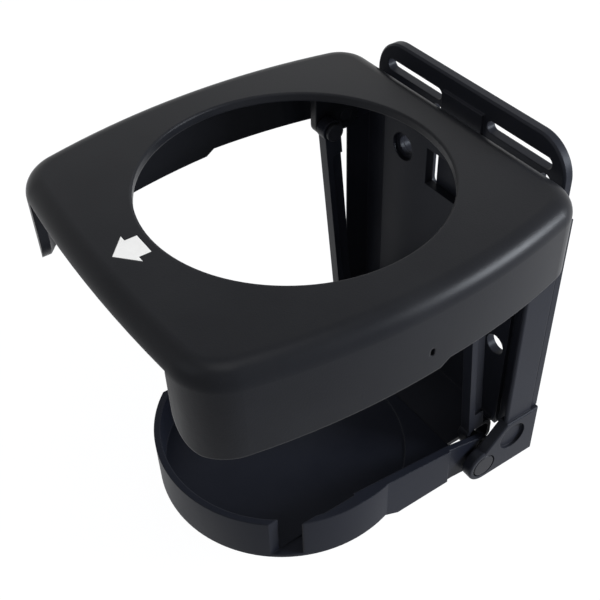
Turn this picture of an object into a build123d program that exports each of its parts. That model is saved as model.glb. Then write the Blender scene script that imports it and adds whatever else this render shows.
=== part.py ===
from build123d import *
import os

os.makedirs("parts", exist_ok=True)

# The wall is the plane y = 0, the front is -y and the ring's top face is z = 0.
# Sizes are in millimetres. Points in side view are (y, z). Half widths are measured from mid-width.

# Fits between pieces
running_gap = 0.08        # round a pin that turns
side_gap = 0.5            # beside pieces that pass each other
travel_gap = 0.25         # round the pin that runs in the link's slot

# Hinge lines in side view
ring_hinge = (-15.8, -14.2)
tray_hinge = (-19.3, -93.5)
link_top = (-22.9, -14.7)
link_foot = (-17.0, -89.2)

# Cup hole and ring cover
hole_radius = 37.5
hole_reach = 54.8         # wall to the hole's centre
hole_edge = 0.4
ring_front = 54.0         # hole's centre to the front edge at mid-width
ring_front_curve = 2.4
ring_back_gap = 1.6       # between the plate's pad and the ring's rear edge
ring_half = 51.3
front_corner_inset = 8.0
rear_corner_inset = 7.0
front_corner_radius = 13.0
rear_corner_radius = 10.0
shoulder_radius = 5.0
ring_wall = 2.4
lip_depth = 4.4
skirt_depth = 25.0        # at the front corners
skirt_step_depth = 22.1   # just in front of the step
skirt_rear_depth = 20.4   # behind the step
skirt_step_front = 2.8    # behind the hole's centre
skirt_step_length = 2.5
wrap_half = 33.0          # half of the front opening between the skirts' ends
wrap_radius = 9.0
rear_opening_half = 41.5
dimple_radius = 0.6
dimple_height = 2.2
dimple_depth = 0.5
dimple_level = -15.7

# White arrow in the ring's front
arrow_tip = 47.2          # in front of the hole's centre
arrow_aside = 1.0         # right of mid-width
arrow_head = 4.6
arrow_head_half = 5.2
arrow_stem = 3.0
arrow_stem_half = 3.4
arrow_depth = 0.4

# Tray
tray_half = 35.4
dish_bulge = 1.4          # the dish's wall stands this far outside the arms
dish_reach = 61.6
dish_bottom = -94.4
dish_floor = 1.6
dish_wall = 1.8
dish_top = -79.9
floor_step = 0.5          # the floor behind the dish lies this much higher
floor_rear = 23.2         # wall to the floor's rear edge
arm_thickness = 2.4
arm_top = -83.6           # where the arm's thinner end starts
arm_bottom = -97.0
arm_knee = 29.5           # wall to where the arm's thinner end starts
arm_step = 0.6            # the end's outer face lies this much further in
arm_drop = 52.5           # wall to where the arm's lower edge leaves the dish's bottom
arm_drop_length = 5.0
arm_heel = 8.0            # the arm's lower edge starts to rise this far in front of its hinge
tray_boss_radius = 4.6
foot_boss_radius = 2.6
notch_inner = 28.3
notch_length = 30.0
notch_floor = 1.2         # floor left under the notches
rim_round = 0.6

# Links
link_width = 3.3
link_depth = 5.2
link_front_depth = 2.0
link_web = 1.6
link_eye_radius = 3.1
slot_wall = 1.3
slot_front = 0.5          # the lower pin's run in the link's foot
slot_back = 2.6
slot_rise = 2.4
slot_fall = 0.2

# Pins
ring_pin_radius = 1.8
ring_pin_head = 3.2
pin_head_depth = 1.0
tray_pin_radius = 2.0
tray_pin_head = 3.6
tray_pin_sink = 1.3
tray_pin_groove = 0.35
link_pin_radius = 1.5
link_pin_head = 2.6
pin_chamfer = 0.2

# Lugs under the ring
lug_thickness = 2.6
hinge_lug_radius = 4.2
link_lug_radius = 2.9
lug_root = 1.2            # depth that a lug starts inside the ring's plate

# Mounting plate
plate_thickness = 2.6
plate_half = 38.0
plate_bottom = -80.4
tab_half = 35.5
tab_top = 5.5
tab_foot = -14.0
tab_radius = 10.0
plate_edge = 0.5
plate_clear_radius = 7.5  # clear hole behind the lower screw
slot_width = 3.4
slot_inner = 8.6
slot_outer = 31.0
slot_level = -1.4
leg_width = 3.6
leg_left = -9.9
leg_right = 29.4
leg_top = -4.4
leg_bottom = -31.0
pad_half = 7.6
pad_top = 1.0
pad_bottom = -12.0
pad_rise = 1.0

# Back body
panel_half = 28.4
panel_front = 5.3
panel_top = -14.0
panel_bottom = -94.5
channel_thickness = 1.2
flange_thickness = 1.0
flange_reach = 11.8
flange_round = 0.8
hook_top = -20.0
hook_corner = 1.0
neck_reach = 7.9
post_boss_radius = 4.4
ear_thickness = 3.2
ear_top = -80.8
ear_boss_radius = 5.3
ear_recess_radius = 4.6
ear_recess_depth = 1.0
ear_recess_at = (-9.3, -87.1)
ear_round = 0.6
shelf_half = 27.0
shelf_gap = 0.4           # between the tray's floor and the shelf under the panel
shelf_thickness = 1.6
window_half = 9.8
window_top = -17.0
window_bottom = -28.6
screw_radius = 3.0
screw_sink_radius = 4.2
screw_sink_depth = 1.4
lower_screw_radius = 3.2
upper_screw_half = 20.0
upper_screw_level = -22.0
lower_screw_aside = 24.0  # right of mid-width
lower_screw_level = -64.6

# Where the pieces stand side by side, worked out from the tray's half width and the dish
arm_inner = tray_half - arm_thickness
dish_radius = tray_half + dish_bulge
ear_inner = tray_half + side_gap
ear_outer = ear_inner + ear_thickness
flange_inner = dish_radius + side_gap
flange_outer = flange_inner + flange_thickness
lug_inner = tray_half - lug_thickness
link_outer = lug_inner - side_gap
link_inner = link_outer - link_width
link_pin_end = link_inner - side_gap
arm_outer = tray_half - arm_step
shelf_reach = floor_rear - shelf_gap
hole_y = -hole_reach
dish_y = -dish_reach
past_side = ring_half + ring_wall


def side_plane(side, inner, outer):
    # Upright plane from which a slab between two half widths is drawn out along +x
    if side > 0:
        return Plane.YZ.offset(inner)
    return Plane.YZ.offset(-outer)


def round_bar(side, inner, outer, at, radius, mode=Mode.ADD):
    # Round bar along x between two half widths
    with BuildSketch(side_plane(side, inner, outer)) as section:
        with Locations(at):
            Circle(radius)
    extrude(section.sketch, amount=outer - inner, mode=mode)


def side_slab(side, inner, outer, points, rounds=(), mode=Mode.ADD):
    # Slab between two half widths: a polygon in side view joined with round bosses
    with BuildSketch(side_plane(side, inner, outer)) as section:
        with BuildLine():
            Polyline(*points, close=True)
        make_face()
        for at, radius in rounds:
            with Locations(at):
                Circle(radius)
    extrude(section.sketch, amount=outer - inner, mode=mode)


def block(low, high, mode=Mode.ADD):
    # Box between two corners
    size = [b - a for a, b in zip(low, high)]
    middle = tuple((a + b) / 2 for a, b in zip(low, high))
    with Locations(middle):
        Box(*size, mode=mode)


# Mounting plate with its tab, screw slots and pad
with BuildPart() as mounting_plate:
    with BuildSketch(Plane.XZ):
        with BuildLine():
            Polyline(
                (-plate_half, plate_bottom),
                (plate_half, plate_bottom),
                (plate_half, tab_foot),
                (tab_half, tab_foot),
                (tab_half, tab_top),
                (-tab_half, tab_top),
                (-tab_half, tab_foot),
                (-plate_half, tab_foot),
                close=True,
            )
        make_face()
    extrude(amount=plate_thickness)
    upright = mounting_plate.edges().filter_by(Axis.Y)
    fillet(upright.group_by(Axis.Z)[-1], tab_radius)
    chamfer(mounting_plate.faces().sort_by(Axis.Y)[0].edges(), plate_edge)
    block(
        (-pad_half, -plate_thickness - pad_rise, pad_bottom),
        (pad_half, -plate_thickness, pad_top),
    )
    with BuildSketch(Plane.XZ.offset(-plate_thickness)):
        slot_length = slot_outer - slot_inner
        for side in (-1, 1):
            with Locations((side * (slot_outer + slot_inner) / 2, slot_level)):
                SlotOverall(slot_length, slot_width)
        for leg in (leg_left, leg_right):
            with Locations((leg, (leg_top + leg_bottom) / 2)):
                SlotOverall(leg_top - leg_bottom, leg_width, rotation=90)
        for side in (-1, 1):
            with Locations((side * upper_screw_half, upper_screw_level)):
                Circle(screw_radius)
        with Locations((lower_screw_aside, lower_screw_level)):
            Circle(plate_clear_radius)
    extrude(amount=2 * panel_front, mode=Mode.SUBTRACT)
mounting_plate.part.label = "mounting_plate"
export_step(mounting_plate.part, "parts/mounting_plate.step")

# Back body: panel, channels, flanges with hinge posts, and ears
with BuildPart() as back_body:
    block((-panel_half, -panel_front, panel_bottom), (panel_half, -plate_thickness, panel_top))
    block(
        (-flange_outer, -plate_thickness - channel_thickness, panel_bottom),
        (flange_outer, -plate_thickness, panel_top),
    )
    block(
        (-shelf_half, -shelf_reach, panel_bottom),
        (shelf_half, -plate_thickness, panel_bottom + shelf_thickness),
    )
    post_y, post_z = ring_hinge
    tray_y, tray_z = tray_hinge
    flange_points = [
        (-plate_thickness, ear_top),
        (-flange_reach, ear_top),
        (-flange_reach, hook_top - hook_corner),
        (-flange_reach + hook_corner, hook_top),
        (-neck_reach, hook_top),
        (-neck_reach, post_z + post_boss_radius),
        (-plate_thickness, post_z + post_boss_radius),
    ]
    post_points = [
        (-plate_thickness, post_z - post_boss_radius),
        (post_y, post_z - post_boss_radius),
        (post_y, post_z + post_boss_radius),
        (-plate_thickness, post_z + post_boss_radius),
    ]
    ear_points = [
        (0, ear_top),
        (-flange_reach, ear_top),
        (tray_y, tray_z + ear_boss_radius),
        (tray_y, tray_z - ear_boss_radius),
        (0, tray_z - ear_boss_radius),
    ]
    for side in (-1, 1):
        side_slab(side, flange_inner, flange_outer, flange_points)
        side_slab(side, ear_inner, flange_outer, post_points, [(ring_hinge, post_boss_radius)])
        side_slab(side, ear_inner, ear_outer, ear_points, [(tray_hinge, ear_boss_radius)])
    long_edges = back_body.edges().filter_by(Axis.Z).filter_by_position(
        Axis.Y, -flange_reach - plate_edge, -flange_reach + plate_edge
    )
    fillet([e for e in long_edges if abs(e.center().X) > (flange_inner + flange_outer) / 2], flange_round)
    outer_faces = [back_body.faces().sort_by(Axis.X)[0], back_body.faces().sort_by(Axis.X)[-1]]
    fillet([e for f in outer_faces for e in f.edges()], ear_round)
    for side in (-1, 1):
        round_bar(side, ear_inner, flange_outer, ring_hinge, ring_pin_radius, Mode.SUBTRACT)
        round_bar(side, ear_inner, ear_outer, tray_hinge, tray_pin_radius, Mode.SUBTRACT)
        sink = ear_outer - tray_pin_sink
        round_bar(side, sink, ear_outer, tray_hinge, tray_pin_head + tray_pin_groove, Mode.SUBTRACT)
        floor = ear_outer - ear_recess_depth
        round_bar(side, floor, ear_outer, ear_recess_at, ear_recess_radius, Mode.SUBTRACT)
    block(
        (-window_half, -2 * panel_front, window_bottom),
        (window_half, panel_front, window_top),
        Mode.SUBTRACT,
    )
    for side in (-1, 1):
        with Locations(Plane((side * upper_screw_half, -panel_front, upper_screw_level), z_dir=(0, -1, 0))):
            CounterBoreHole(screw_radius, screw_sink_radius, screw_sink_depth)
    with Locations(Plane((lower_screw_aside, -panel_front, lower_screw_level), z_dir=(0, -1, 0))):
        Hole(lower_screw_radius)
back_body.part.label = "back_body"
export_step(back_body.part, "parts/back_body.step")

# Ring cover: a shell with rounded shoulders, then the hole, the open front and rear, and the lugs
with BuildPart() as ring_cover:
    front_half = ring_half - front_corner_inset
    rear_half = ring_half - rear_corner_inset
    front_y = hole_y - ring_front
    corner_y = front_y + ring_front_curve
    rear_y = -plate_thickness - pad_rise - ring_back_gap
    with BuildSketch(Plane.XY.offset(-skirt_depth)):
        with BuildLine():
            ThreePointArc((-front_half, corner_y), (0, front_y), (front_half, corner_y))
            ThreePointArc((front_half, corner_y), (ring_half, hole_y), (rear_half, rear_y))
            Line((rear_half, rear_y), (-rear_half, rear_y))
            ThreePointArc((-rear_half, rear_y), (-ring_half, hole_y), (-front_half, corner_y))
        make_face()
    extrude(amount=skirt_depth)
    upright = ring_cover.edges().filter_by(Axis.Z)
    fillet(upright.group_by(Axis.Y)[0], front_corner_radius)
    fillet(ring_cover.edges().filter_by(Axis.Z).group_by(Axis.Y)[-1], rear_corner_radius)
    fillet(ring_cover.faces().sort_by(Axis.Z)[-1].edges(), shoulder_radius)
    offset(amount=-ring_wall, openings=ring_cover.faces().sort_by(Axis.Z)[0])
    # Cup hole with a broken edge
    with Locations((0, hole_y, 0)):
        Hole(hole_radius)
    rims = ring_cover.edges().filter_by(GeomType.CIRCLE)
    hole_rims = rims.filter_by(lambda e: abs(e.radius - hole_radius) < plate_edge)
    chamfer(hole_rims.sort_by(Axis.Z)[-1], hole_edge)
    # The front is open under the lip, and the skirts' ends are rounded
    arc_centre = (wrap_half + wrap_radius, wrap_radius - skirt_depth)
    arc_point = Vector(*arc_centre) + Vector(-wrap_radius, 0).rotate(Axis.Z, 45)
    arc_middle = (arc_point.X, arc_point.Y)
    outside = wrap_half + wrap_radius
    with BuildSketch(Plane.XZ.offset(hole_reach + hole_radius)):
        with BuildLine():
            Polyline(
                (-wrap_half, arc_centre[1]),
                (-wrap_half, -lip_depth),
                (wrap_half, -lip_depth),
                (wrap_half, arc_centre[1]),
            )
            ThreePointArc((wrap_half, arc_centre[1]), arc_middle, (outside, -skirt_depth))
            Polyline(
                (outside, -skirt_depth),
                (outside, -2 * skirt_depth),
                (-outside, -2 * skirt_depth),
                (-outside, -skirt_depth),
            )
            ThreePointArc(
                (-outside, -skirt_depth),
                (-arc_middle[0], arc_middle[1]),
                (-wrap_half, arc_centre[1]),
            )
        make_face()
    extrude(amount=ring_front, mode=Mode.SUBTRACT)
    # The rear is open for the hinge posts
    block(
        (-rear_opening_half, rear_y - 2 * rear_corner_radius, -2 * skirt_depth),
        (rear_opening_half, rear_y + ring_wall, -lip_depth),
        Mode.SUBTRACT,
    )
    # The skirts' lower edge rises to a small step and runs level behind it
    step_y = hole_y + skirt_step_front
    with BuildSketch(Plane.YZ.offset(-past_side)):
        with BuildLine():
            Polyline(
                (front_y, -skirt_depth),
                (step_y, -skirt_step_depth),
                (step_y + skirt_step_length, -skirt_rear_depth),
                (0, -skirt_rear_depth),
                (0, -2 * skirt_depth),
                (front_y, -2 * skirt_depth),
                close=True,
            )
        make_face()
    extrude(amount=2 * past_side, mode=Mode.SUBTRACT)
    # Lugs for the hinge pins and the links
    link_y, link_z = link_top
    hinge_y, hinge_z = ring_hinge
    lug_points = [
        (link_y - link_lug_radius, -lug_root),
        (link_y - link_lug_radius, link_z),
        (link_y, link_z - link_lug_radius),
        (hinge_y, hinge_z - hinge_lug_radius),
        (hinge_y + hinge_lug_radius, hinge_z),
        (hinge_y + hinge_lug_radius, -lug_root),
    ]
    lug_rounds = [(link_top, link_lug_radius), (ring_hinge, hinge_lug_radius)]
    for side in (-1, 1):
        side_slab(side, lug_inner, tray_half, lug_points, lug_rounds)
        round_bar(side, lug_inner, tray_half, ring_hinge, ring_pin_radius + running_gap, Mode.SUBTRACT)
        round_bar(side, lug_inner, tray_half, link_top, link_pin_radius, Mode.SUBTRACT)
        # Small upright mark in the skirt
        with BuildSketch(side_plane(side, ring_half - dimple_depth, ring_half + dimple_depth)) as mark:
            with Locations((hole_y, dimple_level)):
                SlotOverall(dimple_height, 2 * dimple_radius, rotation=90)
        extrude(mark.sketch, amount=2 * dimple_depth, mode=Mode.SUBTRACT)
    # Pocket for the arrow
    with BuildSketch() as arrow_outline:
        tip_y = hole_y - arrow_tip
        head_y = tip_y + arrow_head
        stem_y = head_y + arrow_stem
        with BuildLine():
            Polyline(
                (arrow_aside, tip_y),
                (arrow_aside + arrow_head_half, head_y),
                (arrow_aside + arrow_stem_half, head_y),
                (arrow_aside + arrow_stem_half, stem_y),
                (arrow_aside - arrow_stem_half, stem_y),
                (arrow_aside - arrow_stem_half, head_y),
                (arrow_aside - arrow_head_half, head_y),
                close=True,
            )
        make_face()
    extrude(amount=-arrow_depth, mode=Mode.SUBTRACT)
ring_cover.part.label = "ring_cover"
export_step(ring_cover.part, "parts/ring_cover.step")

# White arrow that fills the pocket
with BuildPart() as pull_arrow:
    add(arrow_outline.sketch)
    extrude(amount=-arrow_depth)
pull_arrow.part.label = "pull_arrow"
export_step(pull_arrow.part, "parts/pull_arrow.step")

# Tray: round dish, open to the rear floor, with arms and notches for the folded links
with BuildPart() as tray:
    floor_length = dish_reach - floor_rear
    with BuildSketch(Plane.XY.offset(dish_bottom)):
        with Locations((0, dish_y)):
            Circle(dish_radius)
        with Locations((0, dish_y + floor_length / 2)):
            Rectangle(2 * tray_half, floor_length)
    extrude(amount=dish_floor + floor_step)
    # The dish's wall runs back to where its circle meets the arms' outer faces
    meet = (dish_radius**2 - tray_half**2) ** 0.5
    with BuildSketch(Plane.XY.offset(dish_bottom + dish_floor)):
        with Locations((0, dish_y)):
            Circle(dish_radius)
        with Locations((0, dish_y + meet - dish_radius)):
            Rectangle(2 * dish_radius, 2 * dish_radius, mode=Mode.INTERSECT)
    extrude(amount=dish_top - dish_bottom - dish_floor)
    above = [
        (dish_y, dish_top),
        (-arm_knee, arm_top),
        (-arm_knee, dish_top + dish_wall),
        (dish_y, dish_top + dish_wall),
    ]
    for side in (-1, 1):
        side_slab(side, 0, dish_radius + dish_wall, above, mode=Mode.SUBTRACT)
    with BuildSketch(Plane.XY.offset(dish_bottom + dish_floor)):
        with Locations((0, dish_y)):
            Circle(dish_radius - dish_wall)
            Rectangle(2 * (tray_half - dish_wall), 2 * dish_radius, mode=Mode.INTERSECT)
    extrude(amount=dish_top - dish_bottom, mode=Mode.SUBTRACT)
    hinge_y, hinge_z = tray_hinge
    foot_y, foot_z = link_foot
    arm_points = [
        (dish_y, dish_bottom),
        (dish_y, dish_top),
        (-arm_knee, arm_top),
        (foot_y, foot_z + foot_boss_radius),
        (foot_y + foot_boss_radius, foot_z),
        (hinge_y + tray_boss_radius, hinge_z),
        (hinge_y, hinge_z - tray_boss_radius),
        (hinge_y - arm_heel, arm_bottom),
        (-arm_drop + arm_drop_length, arm_bottom),
        (-arm_drop, dish_bottom),
    ]
    arm_rounds = [(tray_hinge, tray_boss_radius), (link_foot, foot_boss_radius)]
    for side in (-1, 1):
        side_slab(side, arm_inner, tray_half, arm_points, arm_rounds)
    for side in (-1, 1):
        inner, outer = sorted((side * notch_inner, side * arm_inner))
        block(
            (inner, dish_y - notch_length, dish_bottom + notch_floor),
            (outer, dish_y + notch_length, dish_top + dish_wall),
            Mode.SUBTRACT,
        )
        near, far = sorted((side * arm_outer, side * (tray_half + arm_step)))
        block((near, -arm_knee, 2 * arm_bottom), (far, 0, 0), Mode.SUBTRACT)
        round_bar(side, arm_inner, arm_outer, tray_hinge, tray_pin_radius + running_gap, Mode.SUBTRACT)
        round_bar(side, arm_inner, arm_outer, link_foot, link_pin_radius, Mode.SUBTRACT)
    front_rim = tray.faces().sort_by(Axis.Z)[-1].edges()
    fillet(front_rim.filter_by(GeomType.CIRCLE), rim_round)
tray.part.label = "tray"
export_step(tray.part, "parts/tray.step")

# Links and pins, one of each per side
top = Vector(*link_top)
foot = Vector(*link_foot)
along = (foot - top).normalized()
across = Vector(-along.Y, along.X)
front_edge = across * (-link_depth / 2)
if front_edge.X > 0:
    front_edge = -front_edge
rear_edge = -front_edge
front_face = front_edge + rear_edge.normalized() * link_front_depth
slot_radius = link_pin_radius + travel_gap
foot_radius = slot_radius + slot_wall
foot_middle = foot + Vector((slot_back - slot_front) / 2, (slot_rise - slot_fall) / 2)
web_start = top + along * (link_eye_radius + link_depth)
web_end = foot - along * (foot_radius + slot_rise + link_depth)


def flat(points):
    # Side-view points from vectors
    return [(p.X, p.Y) for p in points]


for name, side in (("left", -1), ("right", 1)):
    with BuildPart() as link:
        bar = flat((top + front_edge, foot + front_edge, foot + rear_edge, top + rear_edge))
        side_slab(side, link_inner, link_outer, bar, [(link_top, link_eye_radius)])
        with BuildSketch(side_plane(side, link_inner, link_outer)):
            with Locations((foot_middle.X, foot_middle.Y)):
                RectangleRounded(
                    slot_front + slot_back + 2 * foot_radius,
                    slot_rise + slot_fall + 2 * foot_radius,
                    foot_radius - running_gap,
                )
        extrude(amount=link_width)
        pocket = flat(
            (
                web_start + front_face,
                web_end + front_face,
                web_end + 2 * rear_edge,
                web_start + 2 * rear_edge,
            )
        )
        pocket_depth = (link_width - link_web) / 2
        side_slab(side, link_inner, link_inner + pocket_depth, pocket, mode=Mode.SUBTRACT)
        side_slab(side, link_outer - pocket_depth, link_outer, pocket, mode=Mode.SUBTRACT)
        round_bar(side, link_inner, link_outer, link_top, link_pin_radius + running_gap, Mode.SUBTRACT)
        with BuildSketch(side_plane(side, link_inner, link_outer)):
            with Locations((foot_middle.X, foot_middle.Y)):
                RectangleRounded(
                    slot_front + slot_back + 2 * slot_radius,
                    slot_rise + slot_fall + 2 * slot_radius,
                    slot_radius - running_gap,
                )
        extrude(amount=link_width, mode=Mode.SUBTRACT)
    link.part.label = "link_" + name
    export_step(link.part, "parts/link_" + name + ".step")

    with BuildPart() as ring_pin:
        round_bar(side, lug_inner, flange_outer, ring_hinge, ring_pin_radius)
        round_bar(side, flange_outer, flange_outer + pin_head_depth, ring_hinge, ring_pin_head)
        chamfer(ring_pin.edges().filter_by(GeomType.CIRCLE).sort_by(Axis.X)[0], pin_chamfer)
        chamfer(ring_pin.edges().filter_by(GeomType.CIRCLE).sort_by(Axis.X)[-1], pin_chamfer)
    ring_pin.part.label = "ring_hinge_pin_" + name
    export_step(ring_pin.part, "parts/ring_hinge_pin_" + name + ".step")

    with BuildPart() as tray_pin:
        sink = ear_outer - tray_pin_sink
        round_bar(side, arm_inner, sink, tray_hinge, tray_pin_radius)
        round_bar(side, sink, ear_outer, tray_hinge, tray_pin_head)
        chamfer(tray_pin.edges().filter_by(GeomType.CIRCLE).sort_by(Axis.X)[0], pin_chamfer)
        chamfer(tray_pin.edges().filter_by(GeomType.CIRCLE).sort_by(Axis.X)[-1], pin_chamfer)
    tray_pin.part.label = "tray_hinge_pin_" + name
    export_step(tray_pin.part, "parts/tray_hinge_pin_" + name + ".step")

    for place, at, outer in (("upper", link_top, tray_half), ("lower", link_foot, arm_outer)):
        with BuildPart() as link_pin:
            round_bar(side, link_pin_end, outer, at, link_pin_radius)
            round_bar(side, link_pin_end - pin_head_depth, link_pin_end, at, link_pin_head)
            chamfer(link_pin.edges().filter_by(GeomType.CIRCLE).sort_by(Axis.X)[0], pin_chamfer)
            chamfer(link_pin.edges().filter_by(GeomType.CIRCLE).sort_by(Axis.X)[-1], pin_chamfer)
        link_pin.part.label = "link_" + place + "_pin_" + name
        export_step(link_pin.part, "parts/" + link_pin.part.label + ".step")
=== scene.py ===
import bpy
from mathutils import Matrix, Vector

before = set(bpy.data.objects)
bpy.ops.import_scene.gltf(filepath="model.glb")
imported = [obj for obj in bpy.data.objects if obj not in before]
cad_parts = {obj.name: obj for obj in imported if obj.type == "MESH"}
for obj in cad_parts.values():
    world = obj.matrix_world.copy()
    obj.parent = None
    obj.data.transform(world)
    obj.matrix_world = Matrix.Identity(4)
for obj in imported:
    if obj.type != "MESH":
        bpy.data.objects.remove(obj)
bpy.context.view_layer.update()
scene = bpy.context.scene
print("frame loaded:", len(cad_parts), "nodes")

# view and camera, at the place found for the photograph
cameraSet = {
    "place": (0.15692, -0.15548, 0.13202),
    "turn": (0.828852, 0.029315, 0.971805),
    "lens": 58.604,
    "sensor": 36.0,
    "nearest": 0.01,
}
scene.view_settings.view_transform = "Standard"
cameraData = bpy.data.cameras.new("photoCamera")
cameraData.lens = cameraSet["lens"]
cameraData.sensor_width = cameraSet["sensor"]
cameraData.clip_start = cameraSet["nearest"]
camera = bpy.data.objects.new("photoCamera", cameraData)
camera.location = cameraSet["place"]
camera.rotation_euler = cameraSet["turn"]
scene.collection.objects.link(camera)
scene.camera = camera
print("camera placed")


def addNode(tree, kind, place, **values):
    node = tree.nodes.new(kind)
    node.location = place
    for name, value in values.items():
        setattr(node, name, value)
    return node


def makeGroup(name, inputs, outputs):
    group = bpy.data.node_groups.new(name, "ShaderNodeTree")
    for label, kind, value in inputs:
        socket = group.interface.new_socket(label, in_out="INPUT", socket_type=kind)
        socket.default_value = value
    for label, kind in outputs:
        group.interface.new_socket(label, in_out="OUTPUT", socket_type=kind)
    start = addNode(group, "NodeGroupInput", (-900, 0))
    end = addNode(group, "NodeGroupOutput", (600, 0))
    return group, start, end


# moulded plastic skin: slow cloudiness in tone and gloss, fine spark-eroded grain in height
skinSet = {
    "cloudDetail": 4.0,
    "grainDetail": 3.0,
    "grainRoughness": 0.65,
    "grainShare": 0.35,
    "spreadFrom": (0.45, 0.95),
    "pitShare": 0.5,
}


def buildSkinGroup(look):
    group, start, end = makeGroup(
        "mouldedSkin",
        [
            ("Dark", "NodeSocketColor", (0.01, 0.01, 0.01, 1)),
            ("Light", "NodeSocketColor", (0.02, 0.02, 0.02, 1)),
            ("Smoothest", "NodeSocketFloat", 0.4),
            ("Roughest", "NodeSocketFloat", 0.5),
            ("Cloud Scale", "NodeSocketFloat", 40.0),
            ("Grain Scale", "NodeSocketFloat", 2600.0),
        ],
        [("Color", "NodeSocketColor"), ("Roughness", "NodeSocketFloat"), ("Height", "NodeSocketFloat")],
    )
    link = group.links.new
    where = addNode(group, "ShaderNodeTexCoord", (-900, 300))
    cloud = addNode(group, "ShaderNodeTexNoise", (-600, 300))
    cloud.inputs["Detail"].default_value = look["cloudDetail"]
    grain = addNode(group, "ShaderNodeTexNoise", (-600, 0))
    grain.inputs["Detail"].default_value = look["grainDetail"]
    grain.inputs["Roughness"].default_value = look["grainRoughness"]
    pits = addNode(group, "ShaderNodeTexVoronoi", (-600, -300))
    for texture in (cloud, grain, pits):
        link(where.outputs["Object"], texture.inputs["Vector"])
    link(start.outputs["Cloud Scale"], cloud.inputs["Scale"])
    link(start.outputs["Grain Scale"], grain.inputs["Scale"])
    link(start.outputs["Grain Scale"], pits.inputs["Scale"])
    both = addNode(group, "ShaderNodeMath", (-350, 150), operation="MULTIPLY_ADD")
    both.inputs[1].default_value = look["grainShare"]
    link(grain.outputs["Fac"], both.inputs[0])
    link(cloud.outputs["Fac"], both.inputs[2])
    spread = addNode(group, "ShaderNodeMapRange", (-150, 150))
    spread.inputs["From Min"].default_value = look["spreadFrom"][0]
    spread.inputs["From Max"].default_value = look["spreadFrom"][1]
    link(both.outputs[0], spread.inputs["Value"])
    tone = addNode(group, "ShaderNodeMix", (100, 250), data_type="RGBA")
    link(spread.outputs["Result"], tone.inputs["Factor"])
    link(start.outputs["Dark"], tone.inputs["A"])
    link(start.outputs["Light"], tone.inputs["B"])
    gloss = addNode(group, "ShaderNodeMapRange", (100, 0))
    link(spread.outputs["Result"], gloss.inputs["Value"])
    link(start.outputs["Smoothest"], gloss.inputs["To Min"])
    link(start.outputs["Roughest"], gloss.inputs["To Max"])
    height = addNode(group, "ShaderNodeMath", (100, -250), operation="MULTIPLY_ADD")
    height.inputs[1].default_value = look["pitShare"]
    link(pits.outputs["Distance"], height.inputs[0])
    link(grain.outputs["Fac"], height.inputs[2])
    link(tone.outputs["Result"], end.inputs["Color"])
    link(gloss.outputs["Result"], end.inputs["Roughness"])
    link(height.outputs[0], end.inputs["Height"])
    return group


# edges are softened, and painted a little paler as rubbed wear and a painted edge highlight, by how far
# the rounded normal turns from the flat one
edgeSet = {"samples": 6, "flatTurn": 0.995, "sharpTurn": 0.80}


def buildEdgeGroup(look):
    group, start, end = makeGroup(
        "rubbedEdgeAndPaintedHighlight",
        [
            ("Color", "NodeSocketColor", (0.01, 0.01, 0.01, 1)),
            ("Edge Wear And Highlight Color", "NodeSocketColor", (0.05, 0.05, 0.05, 1)),
            ("Radius", "NodeSocketFloat", 0.0005),
            ("Amount", "NodeSocketFloat", 0.5),
        ],
        [("Color", "NodeSocketColor"), ("Mask", "NodeSocketFloat"), ("Normal", "NodeSocketVector")],
    )
    link = group.links.new
    soft = addNode(group, "ShaderNodeBevel", (-600, 0), samples=look["samples"])
    link(start.outputs["Radius"], soft.inputs["Radius"])
    flat = addNode(group, "ShaderNodeNewGeometry", (-600, -250))
    turn = addNode(group, "ShaderNodeVectorMath", (-350, -100), operation="DOT_PRODUCT")
    link(soft.outputs["Normal"], turn.inputs[0])
    link(flat.outputs["Normal"], turn.inputs[1])
    mask = addNode(group, "ShaderNodeMapRange", (-150, -100))
    mask.inputs["From Min"].default_value = look["flatTurn"]
    mask.inputs["From Max"].default_value = look["sharpTurn"]
    link(turn.outputs["Value"], mask.inputs["Value"])
    strength = addNode(group, "ShaderNodeMath", (50, -100), operation="MULTIPLY")
    link(mask.outputs["Result"], strength.inputs[0])
    link(start.outputs["Amount"], strength.inputs[1])
    # paler edge colour mixed in by the edge mask: rubbed wear and a painted edge highlight
    tone = addNode(group, "ShaderNodeMix", (250, 100), data_type="RGBA")
    link(strength.outputs[0], tone.inputs["Factor"])
    link(start.outputs["Color"], tone.inputs["A"])
    link(start.outputs["Edge Wear And Highlight Color"], tone.inputs["B"])
    link(tone.outputs["Result"], end.inputs["Color"])
    link(strength.outputs[0], end.inputs["Mask"])
    link(soft.outputs["Normal"], end.inputs["Normal"])
    return group


skinGroup = buildSkinGroup(skinSet)
edgeGroup = buildEdgeGroup(edgeSet)
print("shader groups built")


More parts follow.
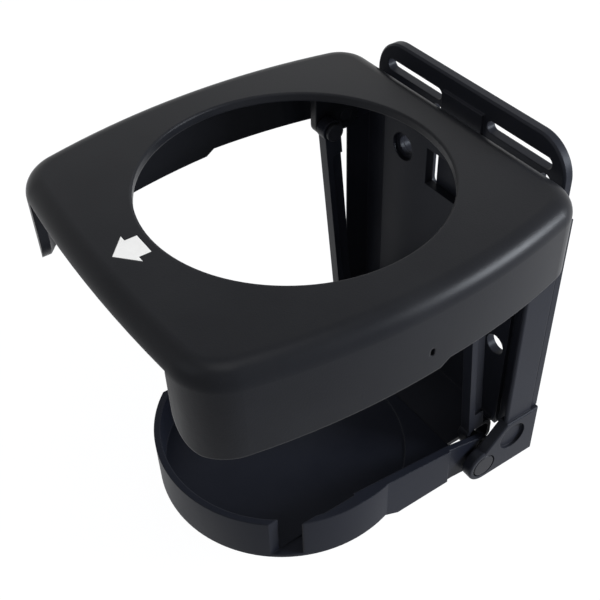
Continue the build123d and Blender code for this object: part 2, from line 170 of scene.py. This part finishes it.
def mouldedMaterial(look):
    material = bpy.data.materials.new(look["name"])
    material.use_nodes = True
    tree = material.node_tree
    link = tree.links.new
    surface = tree.nodes["Principled BSDF"]
    surface.inputs["IOR"].default_value = look["ior"]
    surface.inputs["Specular IOR Level"].default_value = look["specular"]
    surface.inputs["Specular Tint"].default_value = (*look["tint"], 1)
    skin = addNode(tree, "ShaderNodeGroup", (-700, 100), node_tree=skinGroup)
    skin.inputs["Dark"].default_value = (*look["dark"], 1)
    skin.inputs["Light"].default_value = (*look["light"], 1)
    skin.inputs["Smoothest"].default_value = look["gloss"][0]
    skin.inputs["Roughest"].default_value = look["gloss"][1]
    skin.inputs["Cloud Scale"].default_value = look["cloudScale"]
    skin.inputs["Grain Scale"].default_value = look["grainScale"]
    edge = addNode(tree, "ShaderNodeGroup", (-450, -150), node_tree=edgeGroup)
    edge.inputs["Edge Wear And Highlight Color"].default_value = (*look["edge"], 1)
    edge.inputs["Radius"].default_value = look["edgeRadius"]
    edge.inputs["Amount"].default_value = look["edgeAmount"]
    link(skin.outputs["Color"], edge.inputs["Color"])
    bump = addNode(tree, "ShaderNodeBump", (-220, -350))
    bump.inputs["Strength"].default_value = look["bump"]
    bump.inputs["Distance"].default_value = look["bumpDepth"]
    link(skin.outputs["Height"], bump.inputs["Height"])
    link(edge.outputs["Normal"], bump.inputs["Normal"])
    link(edge.outputs["Color"], surface.inputs["Base Color"])
    link(skin.outputs["Roughness"], surface.inputs["Roughness"])
    link(bump.outputs["Normal"], surface.inputs["Normal"])
    return material


coverLook = {
    "name": "blackCoverPlastic",
    "dark": (0.0075, 0.0080, 0.0100),
    "light": (0.0115, 0.0121, 0.0142),
    # edge: paler edge colour, partly rubbed wear and partly a painted edge highlight
    "edge": (0.030, 0.030, 0.033),
    "gloss": (0.30, 0.40),
    "cloudScale": 45.0,
    "grainScale": 2400.0,
    "edgeRadius": 0.0006,
    "edgeAmount": 0.35,
    "bump": 0.20,
    "bumpDepth": 0.00008,
    "ior": 1.5,
    "specular": 0.09,
    "tint": (0.97, 0.98, 1.0),
}
# frame plastic, and the link plastic made from it, is painted paler than the cover as painted fill light
# on the shaded inner faces of the back
frameLook = dict(coverLook, name="blackFramePlastic",
                 dark=(0.0112, 0.0120, 0.0160), light=(0.0160, 0.0170, 0.0218), gloss=(0.36, 0.46),
                 grainScale=3200.0, edgeRadius=0.0004, bump=0.14, specular=0.08, tint=(0.88, 0.93, 1.0))
trayLook = dict(coverLook, name="blackTrayPlastic",
                dark=(0.0072, 0.0082, 0.0128), light=(0.0108, 0.0120, 0.0174), gloss=(0.38, 0.50),
                grainScale=2800.0, edgeRadius=0.0005, bump=0.16, specular=0.08, tint=(0.86, 0.92, 1.0))
linkLook = dict(frameLook, name="blackLinkPlastic", gloss=(0.32, 0.42), edgeRadius=0.0003)
pinLook = dict(frameLook, name="darkPin", dark=(0.012, 0.012, 0.014), light=(0.018, 0.018, 0.021),
               gloss=(0.28, 0.36), edgeRadius=0.0003, edgeAmount=0.6, bump=0.08)
arrowLook = {
    "name": "whiteArrowPrint",
    "dark": (0.90, 0.89, 0.87),
    "light": (0.96, 0.95, 0.93),
    "edge": (0.86, 0.86, 0.85),
    "gloss": (0.50, 0.62),
    "cloudScale": 300.0,
    "grainScale": 3500.0,
    "edgeRadius": 0.0002,
    "edgeAmount": 0.3,
    "bump": 0.10,
    "bumpDepth": 0.00004,
    "ior": 1.45,
    "specular": 0.2,
    "tint": (1.0, 1.0, 1.0),
}
coverPlastic = mouldedMaterial(coverLook)
framePlastic = mouldedMaterial(frameLook)
trayPlastic = mouldedMaterial(trayLook)
linkPlastic = mouldedMaterial(linkLook)
pinMaterial = mouldedMaterial(pinLook)
arrowPrint = mouldedMaterial(arrowLook)

finishes = {
    "ring_cover": coverPlastic,
    "mounting_plate": framePlastic,
    "back_body": framePlastic,
    "tray": trayPlastic,
    "link_left": linkPlastic,
    "link_right": linkPlastic,
    "pull_arrow": arrowPrint,
}
for name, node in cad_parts.items():
    node.data.materials.clear()
    node.data.materials.append(finishes.get(name, pinMaterial))
print("materials on", len(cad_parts), "nodes")


# sum of the rays that see the white background: camera, reflected and transmitted ones
def backgroundRays(tree):
    path = addNode(tree, "ShaderNodeLightPath", (-900, 200))
    seen = addNode(tree, "ShaderNodeMath", (-700, 250), operation="ADD", use_clamp=True)
    every = addNode(tree, "ShaderNodeMath", (-500, 250), operation="ADD", use_clamp=True)
    tree.links.new(path.outputs["Is Camera Ray"], seen.inputs[0])
    tree.links.new(path.outputs["Is Glossy Ray"], seen.inputs[1])
    tree.links.new(seen.outputs[0], every.inputs[0])
    tree.links.new(path.outputs["Is Transmission Ray"], every.inputs[1])
    return every.outputs[0]


# pale floor and white room: both look white to the camera and in reflections, and light the part less
stageSet = {"floorLevel": -0.112, "floorSize": 3.0, "floorTone": (0.60, 0.64, 0.76),
            "roomTone": 0.28, "shadowShare": 0.10, "glow": 1.08}


def buildFloor(look):
    half = look["floorSize"] / 2
    level = look["floorLevel"]
    corners = [(-half, -half, level), (half, -half, level), (half, half, level), (-half, half, level)]
    mesh = bpy.data.meshes.new("paleFloor")
    mesh.from_pydata(corners, [], [(0, 1, 2, 3)])
    floor = bpy.data.objects.new("paleFloor", mesh)
    scene.collection.objects.link(floor)
    material = bpy.data.materials.new("paleFloor")
    material.use_nodes = True
    tree = material.node_tree
    tree.nodes.clear()
    out = addNode(tree, "ShaderNodeOutputMaterial", (600, 0))
    paint = addNode(tree, "ShaderNodeBsdfDiffuse", (0, -150))
    paint.inputs["Color"].default_value = (*look["floorTone"], 1)
    glow = addNode(tree, "ShaderNodeEmission", (0, 100))
    glow.inputs["Strength"].default_value = look["glow"]
    share = addNode(tree, "ShaderNodeMath", (-100, 300), operation="MULTIPLY")
    share.inputs[1].default_value = 1.0 - look["shadowShare"]
    mix = addNode(tree, "ShaderNodeMixShader", (300, 0))
    tree.links.new(backgroundRays(tree), share.inputs[0])
    tree.links.new(share.outputs[0], mix.inputs["Fac"])
    tree.links.new(paint.outputs[0], mix.inputs[1])
    tree.links.new(glow.outputs[0], mix.inputs[2])
    tree.links.new(mix.outputs[0], out.inputs["Surface"])
    mesh.materials.append(material)


def buildRoom(look):
    room = bpy.data.worlds.new("whiteRoom")
    room.use_nodes = True
    scene.world = room
    tree = room.node_tree
    back = tree.nodes["Background"]
    tone = addNode(tree, "ShaderNodeMapRange", (-300, 0))
    tone.inputs["To Min"].default_value = look["roomTone"]
    tone.inputs["To Max"].default_value = 1.0
    tree.links.new(backgroundRays(tree), tone.inputs["Value"])
    tree.links.new(tone.outputs["Result"], back.inputs["Strength"])
    back.inputs["Color"].default_value = (1, 1, 1, 1)


buildFloor(stageSet)
buildRoom(stageSet)

# soft boxes: high over the camera, low behind on the right, a weak panel behind on the left, a front fill
softBoxes = [
    {"name": "topBox", "place": (0.12, -0.14, 0.80), "aim": (0.0, -0.05, 0.0),
     "size": 0.45, "power": 1.7, "tint": (1.0, 0.985, 0.96)},
    {"name": "rightBox", "place": (0.44, 0.42, 0.17), "aim": (0.05, -0.03, -0.02),
     "size": 0.24, "power": 7.2, "tint": (0.90, 0.94, 1.0)},
    {"name": "leftPanel", "place": (-0.62, 0.50, 0.30), "aim": (0.0, -0.05, 0.0),
     "size": 0.45, "power": 0.25, "tint": (1.0, 0.99, 0.97)},
    {"name": "frontFill", "place": (-0.10, -0.70, 0.50), "aim": (0.0, -0.02, -0.02),
     "size": 0.5, "power": 0.8, "tint": (0.88, 0.93, 1.0)},
]


def addSoftBox(look):
    data = bpy.data.lights.new(look["name"], "AREA")
    data.energy = look["power"]
    data.size = look["size"]
    data.color = look["tint"]
    lamp = bpy.data.objects.new(look["name"], data)
    lamp.location = look["place"]
    toAim = Vector(look["aim"]) - Vector(look["place"])
    lamp.rotation_euler = toAim.to_track_quat("-Z", "Y").to_euler()
    scene.collection.objects.link(lamp)


for look in softBoxes:
    addSoftBox(look)
print("stage and", len(softBoxes), "soft boxes set")
